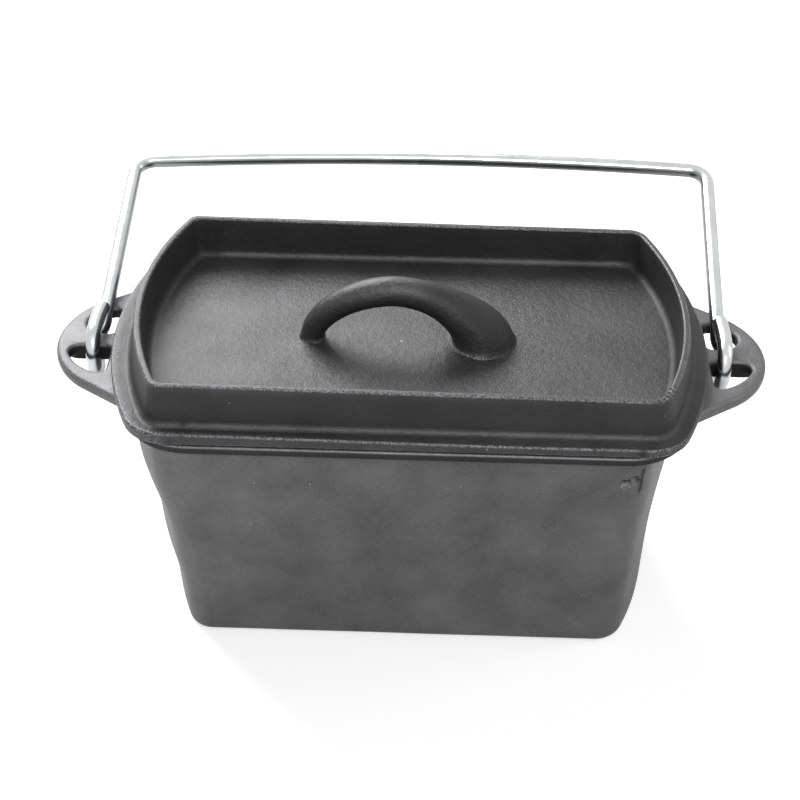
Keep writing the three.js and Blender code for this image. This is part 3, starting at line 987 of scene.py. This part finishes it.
def make_bail(steel):
    half, leg_x = right_half_of_bail()
    line = [Vector((-p.x, p.y, p.z)) for p in reversed(half[1:])] + half
    for point in line:
        side, front_share = (1, right_hook_front) if point.x > 0 else (-1, left_hook_front)
        under = smooth_step((hook_hang_from - point.z) / hook_hang_fade)
        forward = smooth_step((hook_front_from - point.y) / hook_front_fade)
        point.x += side * hook_hang * under * (1 - forward * (1 - front_share))
        reach = point.y / bail_reach
        point.y += bail_skew * reach * (point.x / leg_x)
        point.x += (bail_lean + bail_spread * point.x / leg_x) * reach
    tilt = Matrix.Rotation(bail_rest_turn(leg_x), 3, "X")
    seat = hinge + Vector((bail_shift, 0, 0))
    line = [tilt @ point + seat for point in line]
    shape = bmesh.new()
    skin_rings(shape, chamfered(wire_rings(line, 28), line))
    bmesh.ops.recalc_face_normals(shape, faces=shape.faces)
    painted_shade(shape, wire_painted_shade)
    return finished(shape, "bail_wire", steel, "bail", "bail", math.radians(30))


# Finishes.

def linear(hex_colour):
    """An sRGB hex colour as linear RGBA."""
    channels = [int(hex_colour[i:i + 2], 16) / 255 for i in (1, 3, 5)]
    return tuple(c / 12.92 if c <= 0.04045 else ((c + 0.055) / 1.055) ** 2.4 for c in channels) + (1.0,)


def add_node(tree, kind, settings=None, **links):
    """Adds a node. Settings go to its properties or its input sockets, and links join other outputs to it."""
    node = tree.nodes.new(kind)
    for key, value in (settings or {}).items():
        if isinstance(key, str) and hasattr(node, key):
            setattr(node, key, value)
        else:
            node.inputs[key].default_value = value
    for key, source in links.items():
        socket = node.inputs[int(key[1:])] if key[0] == "_" else node.inputs[key.replace("_", " ")]
        tree.links.new(source, socket)
    return node


def new_material(name):
    material = bpy.data.materials.new(name)
    material.use_nodes = True
    material.node_tree.nodes.clear()
    return material, material.node_tree


def ramp(node, stops):
    """Sets a colour ramp's stops, each (place, hex colour)."""
    elements = node.color_ramp.elements
    while len(elements) < len(stops):
        elements.new(0.5)
    for element, (place, colour) in zip(elements, stops):
        element.position = place
        element.color = linear(colour)


def sand_cast_iron(name, dark, light, worn_and_highlight_colour, edge_wear_and_highlight, metallic, roughness, grit):
    """Sand cast iron, seasoned: baked oil on the skin that the mould's sand leaves, dark and satin, grainy
    all over, with single grains painted bright as glints, cloudy patches, edges rubbed lighter and smoother
    with a painted highlight, and painted shade where the mesh marks it."""
    material, tree = new_material(name)
    place = add_node(tree, "ShaderNodeTexCoord").outputs["Object"]

    # Foundry sand is 0.2 to 0.4 mm, too fine to show here, so its grain is drawn at 0.9 mm.
    sand = add_node(
        tree, "ShaderNodeTexNoise", {"Scale": 1 / (0.9 * mm), "Detail": 3.0, "Roughness": 0.7}, Vector=place
    )
    pits = add_node(tree, "ShaderNodeTexNoise", {"Scale": 1 / (3.5 * mm), "Detail": 2.0}, Vector=place)
    cloud = add_node(
        tree, "ShaderNodeTexNoise", {"Scale": 1 / (26 * mm), "Detail": 5.0, "Roughness": 0.6}, Vector=place
    )
    tone = add_node(
        tree, "ShaderNodeMath", {"operation": "MULTIPLY_ADD", 1: 1.1},
        _0=cloud.outputs["Fac"], _2=sand.outputs["Fac"],
    )
    skin = add_node(
        tree, "ShaderNodeMapRange", {"From Min": 0.72, "From Max": 1.34}, Value=tone.outputs["Value"]
    )
    colour = add_node(tree, "ShaderNodeValToRGB", _0=skin.outputs["Result"])
    ramp(colour, ((0.0, dark), (1.0, light)))

    # One grain in thirty is bare and painted bright, a painted glint.
    grain = add_node(tree, "ShaderNodeTexVoronoi", {"Scale": 1 / (1.3 * mm)}, Vector=place)
    chosen = add_node(
        tree, "ShaderNodeMath", {"operation": "GREATER_THAN", 1: 0.965}, _0=grain.outputs["Color"]
    )
    near = add_node(
        tree, "ShaderNodeMath", {"operation": "LESS_THAN", 1: 0.34}, _0=grain.outputs["Distance"]
    )
    glint = add_node(
        tree, "ShaderNodeMath", {"operation": "MULTIPLY"},
        _0=chosen.outputs["Value"], _1=near.outputs["Value"],
    )

    # Edges stand proud, so handling and stacking rub them lighter, and their lighter colour is also a painted
    # highlight.
    proud = add_node(tree, "ShaderNodeAttribute", {"attribute_name": "proud"}).outputs["Fac"]
    rubbed_and_highlit = add_node(
        tree, "ShaderNodeMapRange", {"From Min": 0.036, "From Max": 0.095, "To Max": edge_wear_and_highlight}, Value=proud
    )
    speckle = add_node(
        tree, "ShaderNodeMapRange", {"From Min": 0.42, "From Max": 0.62}, Value=sand.outputs["Fac"]
    )
    patchy = add_node(
        tree, "ShaderNodeMath", {"operation": "MULTIPLY"},
        _0=rubbed_and_highlit.outputs["Result"], _1=speckle.outputs["Result"],
    )
    bright = add_node(
        tree, "ShaderNodeMath", {"operation": "MAXIMUM"},
        _0=glint.outputs["Value"], _1=patchy.outputs["Value"],
    )
    mixed = add_node(
        tree, "ShaderNodeMixRGB", {"Color2": linear(worn_and_highlight_colour)},
        Fac=bright.outputs["Value"], Color1=colour.outputs["Color"],
    )
    # Painted shade: the colour goes towards near black, and the skin grows rougher, where the mesh marks
    # shade.
    painted_shade_amount = add_node(tree, "ShaderNodeAttribute", {"attribute_name": "painted_shade"}).outputs["Fac"]
    shaded_colour = add_node(
        tree, "ShaderNodeMixRGB", {"Color2": linear("#151515")},
        Fac=painted_shade_amount, Color1=mixed.outputs["Color"],
    )
    rough = add_node(
        tree, "ShaderNodeMapRange",
        {"From Min": 0.3, "From Max": 0.7, "To Min": roughness - 0.08, "To Max": roughness + 0.08},
        Value=sand.outputs["Fac"],
    )
    smoother = add_node(
        tree, "ShaderNodeMath", {"operation": "MULTIPLY_ADD", 1: -0.12},
        _0=bright.outputs["Value"], _2=rough.outputs["Result"],
    )
    matt = add_node(
        tree, "ShaderNodeMath", {"operation": "MULTIPLY_ADD", 1: 0.3},
        _0=painted_shade_amount, _2=smoother.outputs["Value"],
    )
    relief = add_node(
        tree, "ShaderNodeMath", {"operation": "MULTIPLY_ADD", 1: 1.2},
        _0=pits.outputs["Fac"], _2=sand.outputs["Fac"],
    )
    bump = add_node(
        tree, "ShaderNodeBump", {"Strength": 1.0, "Distance": grit}, Height=relief.outputs["Value"]
    )
    shader = add_node(
        tree, "ShaderNodeBsdfPrincipled", {"Metallic": metallic},
        Base_Color=shaded_colour.outputs["Color"], Roughness=matt.outputs["Value"], Normal=bump.outputs["Normal"],
    )
    add_node(tree, "ShaderNodeOutputMaterial", Surface=shader.outputs["BSDF"])
    return material


def bright_drawn_steel():
    """Mild steel wire, bright from the drawing die: near mirror, a little dull where it was handled."""
    material, tree = new_material("bright drawn mild steel wire")
    place = add_node(tree, "ShaderNodeTexCoord").outputs["Object"]
    dull = add_node(tree, "ShaderNodeTexNoise", {"Scale": 1 / (9 * mm), "Detail": 4.0}, Vector=place)
    scratches = add_node(tree, "ShaderNodeTexNoise", {"Scale": 1 / (0.8 * mm), "Detail": 2.0}, Vector=place)
    rough = add_node(
        tree, "ShaderNodeMapRange", {"From Min": 0.3, "From Max": 0.7, "To Min": 0.2, "To Max": 0.27},
        Value=dull.outputs["Fac"],
    )
    colour = add_node(tree, "ShaderNodeValToRGB", _0=dull.outputs["Fac"])
    ramp(colour, ((0.3, "#c6c8ca"), (0.7, "#d0d2d4")))
    # Painted shade and painted dark reflection: the colour goes towards dark grey where the mesh marks them.
    painted_shade_amount = add_node(tree, "ShaderNodeAttribute", {"attribute_name": "painted_shade"}).outputs["Fac"]
    shaded_steel_colour = add_node(
        tree, "ShaderNodeMixRGB", {"Color2": linear("#585859")},
        Fac=painted_shade_amount, Color1=colour.outputs["Color"],
    )
    bump = add_node(
        tree, "ShaderNodeBump", {"Strength": 0.4, "Distance": 0.03 * mm}, Height=scratches.outputs["Fac"]
    )
    shader = add_node(
        tree, "ShaderNodeBsdfPrincipled", {"Metallic": 1.0},
        Base_Color=shaded_steel_colour.outputs["Color"], Roughness=rough.outputs["Result"], Normal=bump.outputs["Normal"],
    )
    add_node(tree, "ShaderNodeOutputMaterial", Surface=shader.outputs["BSDF"])
    return material


# Studio.

def add_floor():
    """A white table, seen as white by the camera but for the object's soft shadow."""
    material, tree = new_material("white table")
    shader = add_node(tree, "ShaderNodeBsdfPrincipled", {"Base Color": linear("#ececec"), "Roughness": 0.9})
    glow = add_node(tree, "ShaderNodeEmission", {"Color": (1, 1, 1, 1)})
    path = add_node(tree, "ShaderNodeLightPath")
    seen = add_node(
        tree, "ShaderNodeMath", {"operation": "MULTIPLY", 1: 0.38}, _0=path.outputs["Is Camera Ray"]
    )
    tree.links.new(seen.outputs["Value"], glow.inputs["Strength"])
    both = add_node(tree, "ShaderNodeAddShader", _0=shader.outputs["BSDF"], _1=glow.outputs["Emission"])
    add_node(tree, "ShaderNodeOutputMaterial", Surface=both.outputs["Shader"])
    shape = bmesh.new()
    half = 3.0
    corners = [shape.verts.new((x * half, y * half, 0)) for x, y in ((-1, -1), (1, -1), (1, 1), (-1, 1))]
    shape.faces.new(corners)
    mesh = bpy.data.meshes.new("floor")
    shape.to_mesh(mesh)
    shape.free()
    mesh.materials.append(material)
    floor = bpy.data.objects.new("floor", mesh)
    bpy.context.scene.collection.objects.link(floor)


def add_studio_world():
    """White where the camera and glossy surfaces see it, and a plain soft fill for everything else."""
    world = bpy.data.worlds.new("studio")
    world.use_nodes = True
    tree = world.node_tree
    tree.nodes.clear()
    path = add_node(tree, "ShaderNodeLightPath")
    seen = add_node(
        tree, "ShaderNodeMath", {"operation": "MAXIMUM"},
        _0=path.outputs["Is Camera Ray"], _1=path.outputs["Is Glossy Ray"],
    )
    strength = add_node(
        tree, "ShaderNodeMapRange", {"To Min": 0.28, "To Max": 1.0}, Value=seen.outputs["Value"],
    )
    background = add_node(
        tree, "ShaderNodeBackground", {"Color": (1, 1, 1, 1)}, Strength=strength.outputs["Result"]
    )
    add_node(tree, "ShaderNodeOutputWorld", Surface=background.outputs["Background"])
    bpy.context.scene.world = world


def add_soft_box(name, place, aim, width, height, watts):
    light = bpy.data.lights.new(name, "AREA")
    light.shape = "RECTANGLE"
    light.size = width
    light.size_y = height
    light.energy = watts
    box = bpy.data.objects.new(name, light)
    box.location = place
    box.rotation_euler = (Vector(aim) - Vector(place)).to_track_quat("-Z", "Y").to_euler()
    box.visible_camera = False
    bpy.context.scene.collection.objects.link(box)


add_camera()
pot_iron = sand_cast_iron(
    "sand cast iron, seasoned", "#505051", "#707071", "#8f8f90",
    edge_wear_and_highlight=0.3, metallic=0.6, roughness=0.45, grit=0.26 * mm,
)
lid_iron = sand_cast_iron(
    "sand cast iron, seasoned darker", "#232324", "#414142", "#88898b",
    edge_wear_and_highlight=0.8, metallic=0.34, roughness=0.41, grit=0.26 * mm,
)
make_tub(pot_iron)
make_lug("lug_left", -1, pot_iron, left_front_border, left_crossbar_deeper)
make_lug("lug_right", 1, pot_iron, right_front_border, right_crossbar_deeper)
make_lid(lid_iron)
make_lid_handle(lid_iron)
make_bail(bright_drawn_steel())

add_floor()
add_studio_world()
add_soft_box("back left soft box", (-0.55, 1.0, 1.0), (0, 0, 0.1), 1.1, 0.7, 30)
add_soft_box("right soft box", (1.4, 0.2, 0.9), (0, 0, 0.1), 0.6, 0.8, 4)
add_soft_box("front soft box", (0.1, -0.9, 1.1), (0, 0, 0.1), 0.16, 0.16, 9)
bpy.context.scene.view_settings.view_transform = "Standard"
